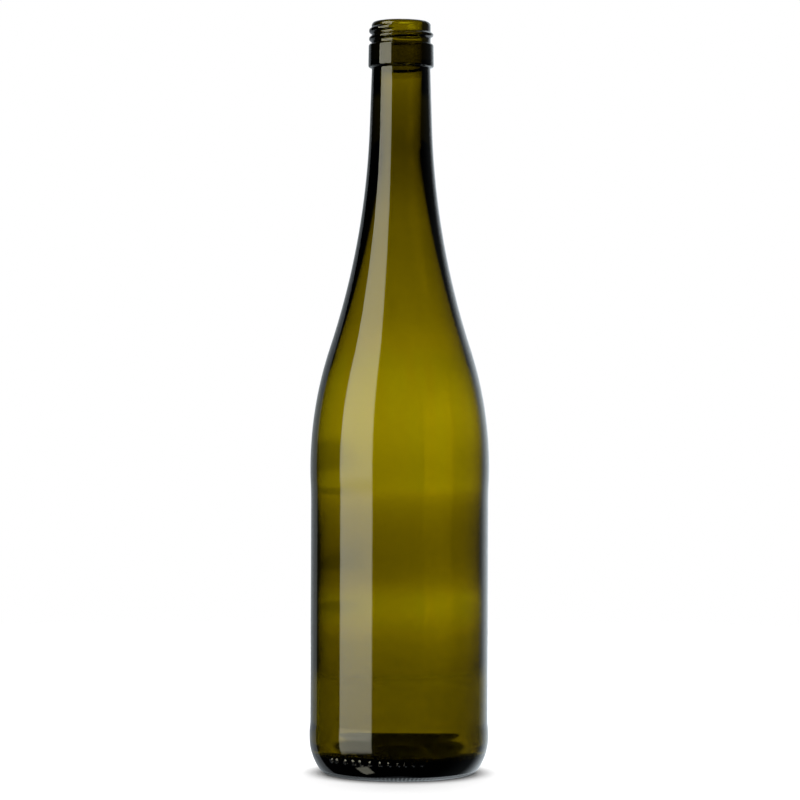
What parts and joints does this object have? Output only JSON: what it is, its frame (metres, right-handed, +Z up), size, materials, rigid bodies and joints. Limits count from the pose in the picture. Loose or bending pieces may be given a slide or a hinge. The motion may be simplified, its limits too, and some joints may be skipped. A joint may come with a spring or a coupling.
{
  "type": "rhine wine bottle",
  "caption": "Tall slender olive glass wine bottle with long sloping shoulders, a screw finish above a collar, a recessed label panel and a shallow push-up.",
  "frame": {"origin": "centre of the base, on the plane that the bottle stands on", "axes": "+Z up along the bottle's axis; the front, with the raised dots on the heel and the thread's start, faces -Y"},
  "size_m": [0.0775, 0.0774, 0.325],
  "materials": {
    "glass": "clear olive green glass, fire polished"
  },
  "bodies": {
    "root": {"bottle": "glass"}
  },
  "joints": []
}
